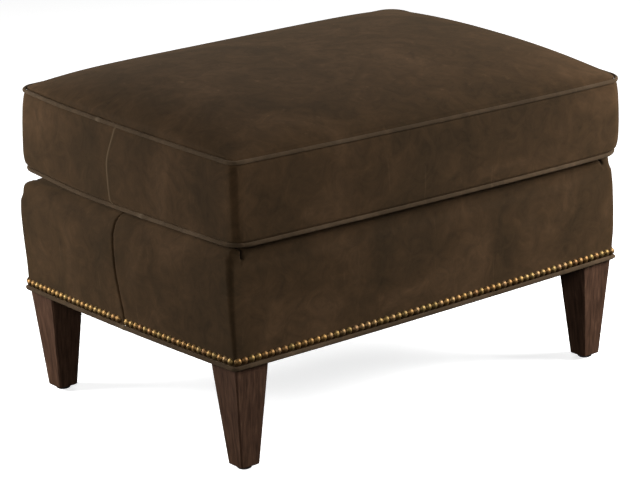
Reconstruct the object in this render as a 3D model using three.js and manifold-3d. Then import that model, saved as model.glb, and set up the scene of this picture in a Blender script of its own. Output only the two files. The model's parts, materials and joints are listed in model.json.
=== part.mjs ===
// Upholstered footstool: a leather-covered box base on four tapered legs, with a loose boxed cushion.
// Millimetres, Z up, X along the long side, the front faces -Y, the floor is Z = 0.
import * as THREE from "three";
import { mergeVertices } from "three/addons/utils/BufferGeometryUtils.js";
import Module from "manifold-3d";

const wasm = await Module();
wasm.setup();

// Common fits and skins
const clearance = 0.3;
const leatherThickness = 1.2;
const cutOverrun = 5;

// Base, over the leather at the nail line
const baseLength = 721;
const baseDepth = 512;
const baseCornerLow = 5;
const baseCornerWallTop = 12;
const baseCornerHigh = 26;
const baseFrontBow = 5;
const baseBackBow = 5;
const baseSideBow = 5;
const wallSwell = 4.5;
const wallTop = 299;
const edgeRoundWidth = 34;
const edgeRoundHeight = 26;
const lipWidth = 40;
const sideSeamFromMiddle = 24;

// Legs, glides and their bolts
const glideHeight = 5;
const glideRadius = 11;
const glideBevel = 1.5;
const legHeight = 156;
const legTopWidth = 58.5;
const legFootWidth = 32;
const legEdge = 2;
const legFootBevel = 1.5;
const legSetIn = 2;
const boltRadius = 3;
const boltSetIn = 4;
const boltInLeg = 40;
const boltPastNut = 4;
const teeNutFlangeRadius = 9.5;
const teeNutFlangeThickness = 1.5;
const teeNutBarrelRadius = 4.6;
const teeNutBarrelLength = 10;

// Frame of plywood rails
const dustCoverThickness = 1;
const dustCoverSetIn = 12;
const railInset = 4.8;
const railThickness = 18;
const railHeight = 138;
const frameCorner = 8;
const springLedgeWidth = 10;
const springLedgeDepth = 14;
const stretcherHeight = 60;
const cornerBlockReach = 72;
const cornerBlockTip = 14;
const cornerBlockHeight = 45;

// Sinuous springs and the clips that hold their ends
const springCount = 3;
const springSpacing = 190;
const springWidth = 50;
const springRuns = 11;
const springWireRadius = 1.8;
const springEndBend = 1;
const clipSheet = 1.5;
const clipLength = 9.5;
const clipLip = 7;
const clipWidth = 16;

// Cloth and padding of the base
const springClothThickness = 1;
const springClothSetIn = 4;

// Welts
const baseWeltRadius = 3.2;
const baseWeltCentreZ = 159.5;
const baseWeltStandOff = 1.6;
const cushionWeltRadius = 2.8;

// Nail heads on their strips
const nailRowZ = 168.8;
const nailPitch = 11.3;
const nailHeadRadius = 5.5;
const nailHeadHeight = 2.8;
const nailSink = 0.3;
const nailStripHeight = 11.4;
const nailStripThickness = 0.7;
const nailSeamGap = 15;

// Cushion
const cushionLength = 734;
const cushionDepth = 528;
const cushionCorner = 28;
const cushionFrontBow = 5;
const cushionBackBow = 0;
const cushionSideBow = 5;
const cushionSeamFromMiddle = 20;
const cushionBottomWeltZ = 333;
const cushionTopWeltZ = 447;
const cushionCrown = 38;
const crownPower = 2.2;
const boxingSwell = 3;

// Zip in the back of the cushion
const zipSlotLength = 560;
const zipSlotHeight = 12;
const zipTeethHeight = 4.4;
const zipTeethDepth = 1.2;
const zipEndStop = 12;
const sliderLength = 10;
const sliderHeight = 9;
const sliderDepth = 2.5;
const sliderEarThickness = 1.2;
const sliderEarHeight = 3.4;
const pullPinRadius = 0.8;
const pullEyeRadius = 2;
const pullEyeWidth = 3;
const pullLength = 24;
const pullWidth = 6;
const pullThickness = 1.4;

// Shares, chosen by hand, of the sizes that they follow
const longSideShares = [0.25, 0.5, 0.75];
const shortSideShare = 0.5;
const wallShares = [[0, 0], [0.1, 0], [0.3, 0.3], [0.55, 0.7], [0.8, 1], [0.94, 0.8]];
const boxingShares = [[0, 0], [0.2, 0.75], [0.42, 1], [0.58, 1], [0.8, 0.75], [1, 0]];
const crownRingShares = [1, 0.965, 0.9, 0.8, 0.65, 0.45, 0.22];
const underRingShares = [[1, 0], [0.965, 0.6], [0.92, 0.9], [0.86, 1]];

// How round a spring's bends are, from 0, sharp, to 1
const springBendTension = 0.15;

// Counts of steps on round stretches
const edgeRoundSteps = 4;
const baseCornerSteps = 2;
const cushionCornerSteps = 3;
const weltSides = 6;
const roundSides = 12;
const nailSides = 6;
const wireSides = 4;
const wireStepsPerRun = 3;

// Levels worked out from the sizes above
const legTopZ = glideHeight + legHeight;
const railBottomZ = legTopZ + dustCoverThickness;
const railTopZ = railBottomZ + railHeight;
const coverBottomZ = baseWeltCentreZ + baseWeltRadius + clearance;
const deckTopZ = wallTop + edgeRoundHeight;
const deckPadBottomZ = railTopZ + springClothThickness;
const boxingLowZ = cushionBottomWeltZ + cushionWeltRadius + clearance;
const boxingHighZ = cushionTopWeltZ - cushionWeltRadius - clearance;
const panelInset = cushionWeltRadius + clearance;

const baseShape = {
  halfLength: baseLength / 2,
  halfDepth: baseDepth / 2,
  frontBow: baseFrontBow,
  backBow: baseBackBow,
  sideBow: baseSideBow,
  seamY: sideSeamFromMiddle,
  cornerSteps: baseCornerSteps,
};
const frameShape = { ...baseShape, frontBow: 0, backBow: 0, sideBow: 0 };
const cushionShape = {
  halfLength: cushionLength / 2,
  halfDepth: cushionDepth / 2,
  frontBow: cushionFrontBow,
  backBow: cushionBackBow,
  sideBow: cushionSideBow,
  seamY: cushionSeamFromMiddle,
  cornerSteps: cushionCornerSteps,
};

const cornerPlaces = [
  ["front_left", -1, -1],
  ["front_right", 1, -1],
  ["back_left", -1, 1],
  ["back_right", 1, 1],
];

function finish(color, roughness, metalness) {
  return new THREE.MeshStandardMaterial({ color, roughness, metalness });
}

const leather = finish("#45362a", 0.85, 0);
const leatherWelt = finish("#54442f", 0.8, 0);
const antiqueBrass = finish("#9a7433", 0.35, 0.9);
const walnut = finish("#2e1b14", 0.45, 0);
const plywood = finish("#b99a6b", 0.8, 0);
const steel = finish("#8d9094", 0.4, 0.9);
const blackNylon = finish("#1a1a1b", 0.6, 0);
const blackCloth = finish("#222223", 0.95, 0);
const deckCloth = finish("#3c3129", 0.95, 0);
const foam = finish("#e6dfc4", 0.9, 0);
const fibre = finish("#f1f0ea", 0.95, 0);

function bowed(shape, x, y) {
  const acrossShare = x / shape.halfLength;
  const alongShare = y / shape.halfDepth;
  const longBow = y < 0 ? shape.frontBow : shape.backBow;
  return [
    x + shape.sideBow * acrossShare * (1 - alongShare ** 2),
    y + longBow * alongShare * (1 - acrossShare ** 2),
  ];
}

function cornerArc(centreX, centreY, radius, startTurn, steps) {
  const points = [];
  for (let step = 0; step <= steps; step++) {
    const angle = (startTurn + step / steps) * (Math.PI / 2);
    points.push([centreX + radius * Math.cos(angle), centreY + radius * Math.sin(angle)]);
  }
  return points;
}

// Half of a rounded plan, from its left seam round the front to its right seam. The back half is the same,
// turned half a turn.
function halfOutline(shape, inset, corner, backHalf) {
  const x = shape.halfLength - inset;
  const y = shape.halfDepth - inset;
  const seamY = backHalf ? -shape.seamY : shape.seamY;
  const sideY = THREE.MathUtils.lerp(seamY, corner - y, shortSideShare);
  const points = [[-x, seamY], [-x, sideY]];
  points.push(...cornerArc(corner - x, corner - y, corner, 2, shape.cornerSteps));
  for (const share of longSideShares) {
    points.push([THREE.MathUtils.lerp(corner - x, x - corner, share), -y]);
  }
  points.push(...cornerArc(x - corner, corner - y, corner, 3, shape.cornerSteps));
  points.push([x, sideY], [x, seamY]);
  const turn = backHalf ? -1 : 1;
  return points.map(([px, py]) => bowed(shape, turn * px, turn * py));
}

function wholeOutline(shape, inset, corner) {
  const front = halfOutline(shape, inset, corner, false);
  const back = halfOutline(shape, inset, corner, true);
  return [...front, ...back.slice(1, -1)];
}

// A row is one level of a surface: { shape, inset, corner, z, scale }
function rowOutline(row, half) {
  const scale = row.scale ?? 1;
  const plan = half === "whole"
    ? wholeOutline(row.shape, row.inset, row.corner)
    : halfOutline(row.shape, row.inset, row.corner, half === "back");
  return plan.map(([x, y]) => new THREE.Vector3(x * scale, y * scale, row.z));
}

function signedVolume(points, faces) {
  let volume = 0;
  for (const [a, b, c] of faces) {
    volume += points[a].dot(points[b].clone().cross(points[c]));
  }
  return volume;
}

function closedGeometry(points, faces) {
  const outward = signedVolume(points, faces) < 0 ? faces.map(([a, b, c]) => [a, c, b]) : faces;
  const geometry = new THREE.BufferGeometry();
  geometry.setAttribute("position", new THREE.Float32BufferAttribute(points.flatMap((p) => p.toArray()), 3));
  geometry.setIndex(outward.flat());
  geometry.computeVertexNormals();
  return geometry;
}

// Rings of equal point counts, joined in a stack whose two ends are closed round their middles
function stackGeometry(rings) {
  const count = rings[0].length;
  const points = rings.flat();
  const faces = [];
  for (let level = 0; level + 1 < rings.length; level++) {
    for (let step = 0; step < count; step++) {
      const a = level * count + step;
      const b = level * count + ((step + 1) % count);
      faces.push([a, b, b + count], [a, b + count, a + count]);
    }
  }
  for (const [level, order] of [[0, -1], [rings.length - 1, 1]]) {
    const middle = new THREE.Vector3();
    rings[level].forEach((point) => middle.add(point));
    points.push(middle.divideScalar(count));
    for (let step = 0; step < count; step++) {
      const a = level * count + step;
      const b = level * count + ((step + 1) % count);
      faces.push(order > 0 ? [a, b, points.length - 1] : [b, a, points.length - 1]);
    }
  }
  return closedGeometry(points, faces);
}

// A closed section of rows, carried along a plan outline. An open run gets flat ends.
function bandGeometry(rows, lines, closed) {
  const stations = lines[0].length;
  const points = lines.flat();
  const faces = [];
  const runs = closed ? stations : stations - 1;
  for (let row = 0; row < lines.length; row++) {
    const next = (row + 1) % lines.length;
    for (let step = 0; step < runs; step++) {
      const ahead = (step + 1) % stations;
      const a = row * stations + step;
      const b = row * stations + ahead;
      const c = next * stations + ahead;
      const d = next * stations + step;
      faces.push([a, b, c], [a, c, d]);
    }
  }
  if (!closed) {
    const section = rows.map((row) => new THREE.Vector2(row.inset, row.z));
    for (const [a, b, c] of THREE.ShapeUtils.triangulateShape(section, [])) {
      const flip = THREE.ShapeUtils.isClockWise(section);
      const [p, q] = flip ? [b, c] : [c, b];
      faces.push([a * stations, q * stations, p * stations]);
      const last = stations - 1;
      faces.push([a * stations + last, p * stations + last, q * stations + last]);
    }
  }
  return closedGeometry(points, orientedAlike(faces));
}

// Turns every face the way of its neighbour, starting from the first
function orientedAlike(faces) {
  const edgeFaces = new Map();
  faces.forEach((face, index) => {
    face.forEach((from, side) => {
      const to = face[(side + 1) % 3];
      const key = from < to ? `${from}_${to}` : `${to}_${from}`;
      if (!edgeFaces.has(key)) edgeFaces.set(key, []);
      edgeFaces.get(key).push([index, from < to]);
    });
  });
  const flips = new Array(faces.length).fill(null);
  flips[0] = false;
  const waiting = [0];
  while (waiting.length > 0) {
    const index = waiting.pop();
    faces[index].forEach((from, side) => {
      const to = faces[index][(side + 1) % 3];
      const key = from < to ? `${from}_${to}` : `${to}_${from}`;
      const own = from < to;
      for (const [other, direction] of edgeFaces.get(key)) {
        if (flips[other] === null) {
          flips[other] = direction === own ? !flips[index] : flips[index];
          waiting.push(other);
        }
      }
    });
  }
  return faces.map(([a, b, c], index) => (flips[index] ? [a, c, b] : [a, b, c]));
}

function bandOf(rows, half) {
  return bandGeometry(rows, rows.map((row) => rowOutline(row, half)), half === "whole");
}

function stackOf(rows) {
  return stackGeometry(rows.map((row) => rowOutline(row, "whole")));
}

// Moves a line of rows inwards, square to the line through each row's neighbours
function shrunkRows(rows, distance) {
  return rows.map((row, index) => {
    const before = rows[Math.max(index - 1, 0)];
    const after = rows[Math.min(index + 1, rows.length - 1)];
    const across = after.inset - before.inset;
    const up = after.z - before.z;
    const length = Math.hypot(across, up);
    const inwards = (up / length) * distance;
    return {
      ...row,
      inset: row.inset + inwards,
      z: row.z - (across / length) * distance,
      corner: row.corner - inwards,
    };
  });
}

// The row where a rising line of rows passes a height
function rowAtHeight(rows, z) {
  const above = rows.findIndex((row) => row.z > z);
  const [low, high] = [rows[above - 1], rows[above]];
  const share = (z - low.z) / (high.z - low.z);
  return {
    ...low,
    inset: THREE.MathUtils.lerp(low.inset, high.inset, share),
    corner: THREE.MathUtils.lerp(low.corner, high.corner, share),
    z,
  };
}

function boxBetween(low, high) {
  const size = high.map((value, axis) => value - low[axis]);
  const middle = high.map((value, axis) => (value + low[axis]) / 2);
  return new THREE.BoxGeometry(...size).translate(...middle);
}

// A section drawn in Y and Z, drawn out along X about X = 0
function extrudedAlongX(points, length) {
  const shape = new THREE.Shape(points.map(([y, z]) => new THREE.Vector2(y, z)));
  const geometry = new THREE.ExtrudeGeometry(shape, { depth: length, bevelEnabled: false });
  const turn = new THREE.Matrix4().makeBasis(
    new THREE.Vector3(0, 1, 0),
    new THREE.Vector3(0, 0, 1),
    new THREE.Vector3(1, 0, 0),
  );
  return geometry.translate(0, 0, -length / 2).applyMatrix4(turn);
}

function uprightCylinder(radius, bottomZ, topZ, sides) {
  return new THREE.CylinderGeometry(radius, radius, topZ - bottomZ, sides)
    .rotateX(Math.PI / 2)
    .translate(0, 0, (bottomZ + topZ) / 2);
}

function lyingCylinder(radius, length, sides) {
  return new THREE.CylinderGeometry(radius, radius, length, sides).rotateZ(Math.PI / 2);
}

function solidOf(geometry) {
  const bare = geometry.clone();
  bare.deleteAttribute("normal");
  bare.deleteAttribute("uv");
  const merged = mergeVertices(bare);
  return new wasm.Manifold(new wasm.Mesh({
    numProp: 3,
    vertProperties: new Float32Array(merged.attributes.position.array),
    triVerts: new Uint32Array(merged.index.array),
  }));
}

function geometryOf(solid) {
  const { vertProperties, triVerts } = solid.getMesh();
  const geometry = new THREE.BufferGeometry();
  geometry.setAttribute("position", new THREE.BufferAttribute(new Float32Array(vertProperties), 3));
  geometry.setIndex(Array.from(triVerts));
  geometry.computeVertexNormals();
  return geometry;
}

const footstool = new THREE.Group();

function addPiece(name, geometry, material) {
  const mesh = new THREE.Mesh(geometry, material);
  mesh.name = name;
  footstool.add(mesh);
}

// Legs with their glides, bolts and tee nuts
const legCentreX = baseLength / 2 - legSetIn - legTopWidth / 2;
const legCentreY = baseDepth / 2 - legSetIn - legTopWidth / 2;
const boltX = legCentreX - boltSetIn;
const boltY = legCentreY - boltSetIn;

function squareRing(halfWidth, edge, z) {
  const flat = halfWidth - edge;
  return [
    [-flat, -halfWidth], [flat, -halfWidth], [halfWidth, -flat], [halfWidth, flat],
    [flat, halfWidth], [-flat, halfWidth], [-halfWidth, flat], [-halfWidth, -flat],
  ].map(([x, y]) => new THREE.Vector3(x, y, z));
}

function legGeometry(signX, signY) {
  const footHalf = legFootWidth / 2;
  const blank = stackGeometry([
    squareRing(footHalf - legFootBevel, legEdge, glideHeight),
    squareRing(footHalf, legEdge, glideHeight + legFootBevel),
    squareRing(legTopWidth / 2, legEdge, legTopZ),
  ]).translate(signX * legCentreX, signY * legCentreY, 0);
  const holeLow = legTopZ - boltInLeg - clearance;
  const hole = uprightCylinder(boltRadius + clearance, holeLow, legTopZ + cutOverrun, roundSides)
    .translate(signX * boltX, signY * boltY, 0);
  return geometryOf(solidOf(blank).subtract(solidOf(hole)));
}

function glideGeometry() {
  const profile = [
    [0, 0],
    [glideRadius - glideBevel, 0],
    [glideRadius, glideBevel],
    [glideRadius, glideHeight],
    [0, glideHeight],
  ].map(([radius, height]) => new THREE.Vector2(radius, height));
  return new THREE.LatheGeometry(profile, roundSides).rotateX(Math.PI / 2);
}

const cornerBlockTopZ = railBottomZ + cornerBlockHeight;

function boltGeometry() {
  const top = cornerBlockTopZ + teeNutFlangeThickness + boltPastNut;
  return uprightCylinder(boltRadius, legTopZ - boltInLeg, top, roundSides);
}

function teeNutGeometry() {
  const bore = boltRadius + clearance;
  const barrelLow = cornerBlockTopZ - teeNutBarrelLength;
  const flangeTop = cornerBlockTopZ + teeNutFlangeThickness;
  const profile = [
    [bore, barrelLow],
    [teeNutBarrelRadius, barrelLow],
    [teeNutBarrelRadius, cornerBlockTopZ],
    [teeNutFlangeRadius, cornerBlockTopZ],
    [teeNutFlangeRadius, flangeTop],
    [bore, flangeTop],
    [bore, barrelLow],
  ].map(([radius, height]) => new THREE.Vector2(radius, height));
  return new THREE.LatheGeometry(profile, roundSides).rotateX(Math.PI / 2);
}

function addLegs() {
  for (const [place, signX, signY] of cornerPlaces) {
    const atLeg = [signX * legCentreX, signY * legCentreY, 0];
    const atBolt = [signX * boltX, signY * boltY, 0];
    addPiece(`${place}_leg`, legGeometry(signX, signY), walnut);
    addPiece(`${place}_glide`, glideGeometry().translate(...atLeg), blackNylon);
    addPiece(`${place}_hanger_bolt`, boltGeometry().translate(...atBolt), steel);
    addPiece(`${place}_tee_nut`, teeNutGeometry().translate(...atBolt), steel);
  }
}

// Frame
const frameHalfLength = baseLength / 2 - railInset;
const frameHalfDepth = baseDepth / 2 - railInset;
const innerHalfLength = frameHalfLength - railThickness;
const innerHalfDepth = frameHalfDepth - railThickness;
const ledgeZ = railTopZ - springLedgeDepth;

// A front or back rail, with a ledge along its inner top edge for the spring clips
function longRailGeometry(signY) {
  const ledgeY = innerHalfDepth + springLedgeWidth;
  const section = [
    [frameHalfDepth, railBottomZ],
    [frameHalfDepth, railTopZ],
    [ledgeY, railTopZ],
    [ledgeY, ledgeZ],
    [innerHalfDepth, ledgeZ],
    [innerHalfDepth, railBottomZ],
  ].map(([y, z]) => [signY * y, z]);
  const bar = extrudedAlongX(section, baseLength);
  const level = (z) => ({ shape: frameShape, inset: railInset, corner: frameCorner, z });
  const envelope = stackOf([level(railBottomZ - cutOverrun), level(railTopZ + cutOverrun)]);
  return geometryOf(solidOf(bar).intersect(solidOf(envelope)));
}

function endRailGeometry(signX) {
  const [near, far] = [signX * innerHalfLength, signX * frameHalfLength].sort((a, b) => a - b);
  return boxBetween([near, -innerHalfDepth, railBottomZ], [far, innerHalfDepth, railTopZ]);
}

function stretcherGeometry() {
  const half = railThickness / 2;
  return boxBetween(
    [-half, -innerHalfDepth, railBottomZ],
    [half, innerHalfDepth, railBottomZ + stretcherHeight],
  );
}

function cornerBlockGeometry(signX, signY) {
  const near = cornerBlockReach;
  const tip = cornerBlockTip;
  const plan = [[0, 0], [near, 0], [near, tip], [tip, near], [0, near]].map(
    ([x, y]) => new THREE.Vector2(signX * (innerHalfLength - x), signY * (innerHalfDepth - y)),
  );
  const block = new THREE.ExtrudeGeometry(new THREE.Shape(plan), {
    depth: cornerBlockHeight,
    bevelEnabled: false,
  }).translate(0, 0, railBottomZ);
  const hole = uprightCylinder(
    teeNutBarrelRadius + clearance,
    railBottomZ - cutOverrun,
    cornerBlockTopZ + cutOverrun,
    roundSides,
  ).translate(signX * boltX, signY * boltY, 0);
  return geometryOf(solidOf(block).subtract(solidOf(hole)));
}

function addFrame() {
  addPiece("front_rail", longRailGeometry(-1), plywood);
  addPiece("back_rail", longRailGeometry(1), plywood);
  addPiece("left_end_rail", endRailGeometry(-1), plywood);
  addPiece("right_end_rail", endRailGeometry(1), plywood);
  addPiece("centre_stretcher", stretcherGeometry(), plywood);
  for (const [place, signX, signY] of cornerPlaces) {
    addPiece(`${place}_corner_block`, cornerBlockGeometry(signX, signY), plywood);
  }
}

// Springs: each end run lies in a clip on the ledge of a long rail
const clipWallY = innerHalfDepth + springLedgeWidth - clearance;
const springEndY = clipWallY - clipSheet - clearance - springEndBend - springWireRadius;
const springEndZ = ledgeZ + clipSheet + clearance + springWireRadius;
const springCrownZ = railTopZ - clearance - springWireRadius;

function springGeometry() {
  const route = [];
  const gap = (2 * springEndY) / (springRuns - 1);
  for (let run = 0; run < springRuns; run++) {
    const y = run * gap - springEndY;
    const z = THREE.MathUtils.lerp(springCrownZ, springEndZ, (y / springEndY) ** 2);
    const side = run % 2 === 0 ? -1 : 1;
    route.push(new THREE.Vector3((side * springWidth) / 2, y, z));
    route.push(new THREE.Vector3((-side * springWidth) / 2, y, z));
  }
  const section = new THREE.Shape();
  for (let side = 0; side < wireSides; side++) {
    const angle = (side / wireSides) * 2 * Math.PI;
    const corner = [springWireRadius * Math.cos(angle), springWireRadius * Math.sin(angle)];
    if (side === 0) section.moveTo(...corner);
    else section.lineTo(...corner);
  }
  section.closePath();
  return new THREE.ExtrudeGeometry(section, {
    steps: springRuns * wireStepsPerRun * 2,
    extrudePath: new THREE.CatmullRomCurve3(route, false, "catmullrom", springBendTension),
    bevelEnabled: false,
  });
}

function clipGeometry(signY) {
  const lipBottomZ = springEndZ + springWireRadius + clearance;
  const lipTopZ = lipBottomZ + clipSheet;
  const section = [
    [0, ledgeZ],
    [clipLength, ledgeZ],
    [clipLength, ledgeZ + clipSheet],
    [clipSheet, ledgeZ + clipSheet],
    [clipSheet, lipBottomZ],
    [clipLip, lipBottomZ],
    [clipLip, lipTopZ],
    [0, lipTopZ],
  ].map(([fromWall, z]) => [signY * (clipWallY - fromWall), z]);
  return extrudedAlongX(section, clipWidth);
}

function addSprings() {
  for (let index = 0; index < springCount; index++) {
    const x = (index - (springCount - 1) / 2) * springSpacing;
    const number = index + 1;
    addPiece(`sinuous_spring_${number}`, springGeometry().translate(x, 0, 0), steel);
    addPiece(`front_spring_clip_${number}`, clipGeometry(-1).translate(x, 0, 0), steel);
    addPiece(`back_spring_clip_${number}`, clipGeometry(1).translate(x, 0, 0), steel);
  }
}

// Base upholstery: the leather's outer line from its bottom edge, up the wall, round the soft top edge
// and in along the deck
function baseWallRows() {
  const wallHeight = wallTop - coverBottomZ;
  return wallShares.map(([heightShare, swellShare]) => ({
    shape: baseShape,
    inset: -wallSwell * swellShare,
    corner: THREE.MathUtils.lerp(baseCornerLow, baseCornerWallTop, heightShare ** 2),
    z: coverBottomZ + wallHeight * heightShare,
  }));
}

function baseEdgeRows() {
  const rows = [];
  for (let step = 0; step <= edgeRoundSteps; step++) {
    const turnShare = step / edgeRoundSteps;
    const angle = turnShare * (Math.PI / 2);
    rows.push({
      shape: baseShape,
      inset: edgeRoundWidth * (1 - Math.cos(angle)),
      corner: THREE.MathUtils.lerp(baseCornerWallTop, baseCornerHigh, turnShare),
      z: wallTop + edgeRoundHeight * Math.sin(angle),
    });
  }
  return rows;
}

const skinRows = [
  ...baseWallRows(),
  ...baseEdgeRows(),
  { shape: baseShape, inset: edgeRoundWidth + lipWidth, corner: baseCornerHigh, z: deckTopZ },
];
const bedRows = shrunkRows(skinRows, leatherThickness + clearance);

function coverGeometry(half) {
  const inner = shrunkRows(skinRows, leatherThickness).reverse();
  return bandOf([...skinRows, ...inner], half);
}

// One side's padding: the run of the plan between the middles of two corners
function paddingGeometry(firstStation, lastStation) {
  const topZ = deckPadBottomZ - clearance;
  const outer = [...bedRows.filter((row) => row.z < topZ), rowAtHeight(bedRows, topZ)];
  const back = { shape: frameShape, inset: railInset - clearance, corner: frameCorner + clearance };
  const rows = [...outer, { ...back, z: topZ }, { ...back, z: coverBottomZ }];
  const lines = rows.map((row) => {
    const ring = rowOutline(row, "whole");
    const run = [];
    for (let station = firstStation; station <= lastStation; station++) {
      run.push(ring[(station + ring.length) % ring.length]);
    }
    return run;
  });
  return bandGeometry(rows, lines, false);
}

function addPadding() {
  const perHalf = 2 * (baseCornerSteps + 1) + longSideShares.length + 4;
  const stations = 2 * perHalf - 2;
  const frontLeft = 2 + baseCornerSteps / 2;
  const frontRight = perHalf - 1 - frontLeft;
  const backRight = perHalf - 1 + frontLeft;
  const backLeft = stations - frontLeft;
  addPiece("front_padding", paddingGeometry(frontLeft, frontRight), fibre);
  addPiece("right_padding", paddingGeometry(frontRight, backRight), fibre);
  addPiece("back_padding", paddingGeometry(backRight, backLeft), fibre);
  addPiece("left_padding", paddingGeometry(backLeft, stations + frontLeft), fibre);
}

function springClothGeometry() {
  const halfX = frameHalfLength - springClothSetIn;
  const halfY = frameHalfDepth - springClothSetIn;
  return boxBetween([-halfX, -halfY, railTopZ], [halfX, halfY, deckPadBottomZ]);
}

function deckPadGeometry() {
  const above = bedRows.slice(0, -1).filter((row) => row.z > deckPadBottomZ);
  return stackOf([rowAtHeight(bedRows, deckPadBottomZ), ...above]);
}

function deckCoverGeometry() {
  const inset = edgeRoundWidth + lipWidth + clearance;
  const level = (z) => ({ shape: baseShape, inset, corner: baseCornerHigh, z });
  return stackOf([level(deckTopZ - leatherThickness), level(deckTopZ)]);
}

function dustCoverGeometry() {
  const level = (z) => ({ shape: frameShape, inset: dustCoverSetIn, corner: frameCorner, z });
  let sheet = solidOf(stackOf([level(legTopZ), level(railBottomZ)]));
  for (const [, signX, signY] of cornerPlaces) {
    const hole = uprightCylinder(
      boltRadius + clearance,
      legTopZ - cutOverrun,
      railBottomZ + cutOverrun,
      roundSides,
    ).translate(signX * boltX, signY * boltY, 0);
    sheet = sheet.subtract(solidOf(hole));
  }
  return geometryOf(sheet);
}

// A piped edge: a round section carried all the way round a plan
function weltGeometry(shape, outwards, corner, centreZ, radius) {
  const rows = [];
  for (let side = 0; side < weltSides; side++) {
    const angle = ((side + 1 / 2) / weltSides) * 2 * Math.PI;
    const inset = radius * Math.cos(angle);
    rows.push({
      shape,
      inset: inset - outwards,
      corner: corner + outwards - inset,
      z: centreZ + radius * Math.sin(angle),
    });
  }
  return bandOf(rows, "whole");
}

// Walks along a plan line and gives a point and its outward direction at every pitch
function placesAlong(line, startGap, endGap, pitch) {
  const lengths = [0];
  for (let step = 1; step < line.length; step++) {
    lengths.push(lengths[step - 1] + line[step].distanceTo(line[step - 1]));
  }
  const usable = lengths[lengths.length - 1] - startGap - endGap;
  const count = Math.floor(usable / pitch);
  const spare = (usable - count * pitch) / 2;
  const places = [];
  for (let index = 0; index <= count; index++) {
    const travelled = startGap + spare + index * pitch;
    const ahead = lengths.findIndex((length, step) => step > 0 && length >= travelled);
    const [from, to] = [line[ahead - 1], line[ahead]];
    const direction = to.clone().sub(from).normalize();
    const point = from.clone().addScaledVector(direction, travelled - lengths[ahead - 1]);
    places.push({ point, outward: new THREE.Vector3(direction.y, -direction.x, 0) });
  }
  return places;
}

function nailHeadGeometry({ point, outward }) {
  const turn = new THREE.Quaternion().setFromUnitVectors(new THREE.Vector3(0, 1, 0), outward);
  return new THREE.ConeGeometry(nailHeadRadius, nailHeadHeight, nailSides)
    .translate(0, nailHeadHeight / 2 - nailSink, 0)
    .applyQuaternion(turn)
    .translate(point.x, point.y, nailRowZ);
}

// A run of nail heads on their strip, from one side seam round to the other
function nailTrimGeometry(half) {
  const row = (outwards, z) => ({
    shape: baseShape,
    inset: -outwards,
    corner: baseCornerLow + outwards,
    z,
  });
  const [lowZ, highZ] = [nailRowZ - nailStripHeight / 2, nailRowZ + nailStripHeight / 2];
  const outside = clearance + nailStripThickness;
  const rows = [row(clearance, lowZ), row(outside, lowZ), row(outside, highZ), row(clearance, highZ)];
  const lines = rows.map((each) => trimmedLine(rowOutline(each, half), nailSeamGap / 2));
  let trim = solidOf(bandGeometry(rows, lines, false));
  const nailLine = lines[1].map((point) => point.clone().setZ(nailRowZ));
  for (const place of placesAlong(nailLine, nailHeadRadius, nailHeadRadius, nailPitch)) {
    trim = trim.add(solidOf(nailHeadGeometry(place)));
  }
  return geometryOf(trim);
}

// Shortens a line at both ends, along its first and last steps
function trimmedLine(line, distance) {
  const pulledIn = (end, next) => end.clone().addScaledVector(next.clone().sub(end).normalize(), distance);
  const last = line.length - 1;
  return [pulledIn(line[0], line[1]), ...line.slice(1, last), pulledIn(line[last], line[last - 1])];
}

function addBaseUpholstery() {
  addPiece("spring_cloth", springClothGeometry(), blackCloth);
  addPadding();
  addPiece("deck_pad", deckPadGeometry(), foam);
  addPiece("deck_cover", deckCoverGeometry(), deckCloth);
  addPiece("front_cover", coverGeometry("front"), leather);
  addPiece("back_cover", coverGeometry("back"), leather);
  addPiece(
    "base_welt",
    weltGeometry(baseShape, baseWeltStandOff, baseCornerLow, baseWeltCentreZ, baseWeltRadius),
    leatherWelt,
  );
  addPiece("front_nail_trim", nailTrimGeometry("front"), antiqueBrass);
  addPiece("back_nail_trim", nailTrimGeometry("back"), antiqueBrass);
  addPiece("dust_cover", dustCoverGeometry(), blackCloth);
}

// Cushion
const boxingRows = boxingShares.map(([heightShare, swellShare]) => ({
  shape: cushionShape,
  inset: -boxingSwell * swellShare,
  corner: cushionCorner,
  z: THREE.MathUtils.lerp(boxingLowZ, boxingHighZ, heightShare),
}));
const boxingFaceY = cushionDepth / 2 + boxingSwell;
const zipZ = (boxingLowZ + boxingHighZ) / 2;
const cushionUnderZ = deckTopZ + clearance;

function crownRows(inset, edgeZ) {
  return crownRingShares.map((scale) => ({
    shape: cushionShape,
    inset,
    corner: cushionCorner - inset,
    scale,
    z: edgeZ + cushionCrown * (1 - scale ** crownPower),
  }));
}

function underRows(inset, edgeZ, lowZ) {
  return underRingShares.map(([scale, dropShare]) => ({
    shape: cushionShape,
    inset,
    corner: cushionCorner - inset,
    scale,
    z: THREE.MathUtils.lerp(edgeZ, lowZ, dropShare),
  }));
}

function boxingGeometry(half) {
  const inner = shrunkRows(boxingRows, leatherThickness).reverse();
  return bandOf([...boxingRows, ...inner], half);
}

function backBoxingGeometry() {
  const half = [zipSlotLength / 2, zipSlotHeight / 2];
  const slot = boxBetween(
    [-half[0], boxingFaceY - cutOverrun, zipZ - half[1]],
    [half[0], boxingFaceY + cutOverrun, zipZ + half[1]],
  );
  return geometryOf(solidOf(boxingGeometry("back")).subtract(solidOf(slot)));
}

function foamCoreGeometry() {
  return stackOf(shrunkRows(boxingRows, leatherThickness + clearance));
}

// The core's flat ends are the fibre layers' flat faces
function fibreEdgeRow(z) {
  return { shape: cushionShape, inset: leatherThickness + clearance, corner: cushionCorner, z };
}

function topPanelGeometry() {
  const half = leatherThickness / 2;
  const outside = crownRows(panelInset, cushionTopWeltZ + half);
  const inside = crownRows(panelInset, cushionTopWeltZ - half);
  return stackOf([...inside.reverse(), ...outside]);
}

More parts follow.
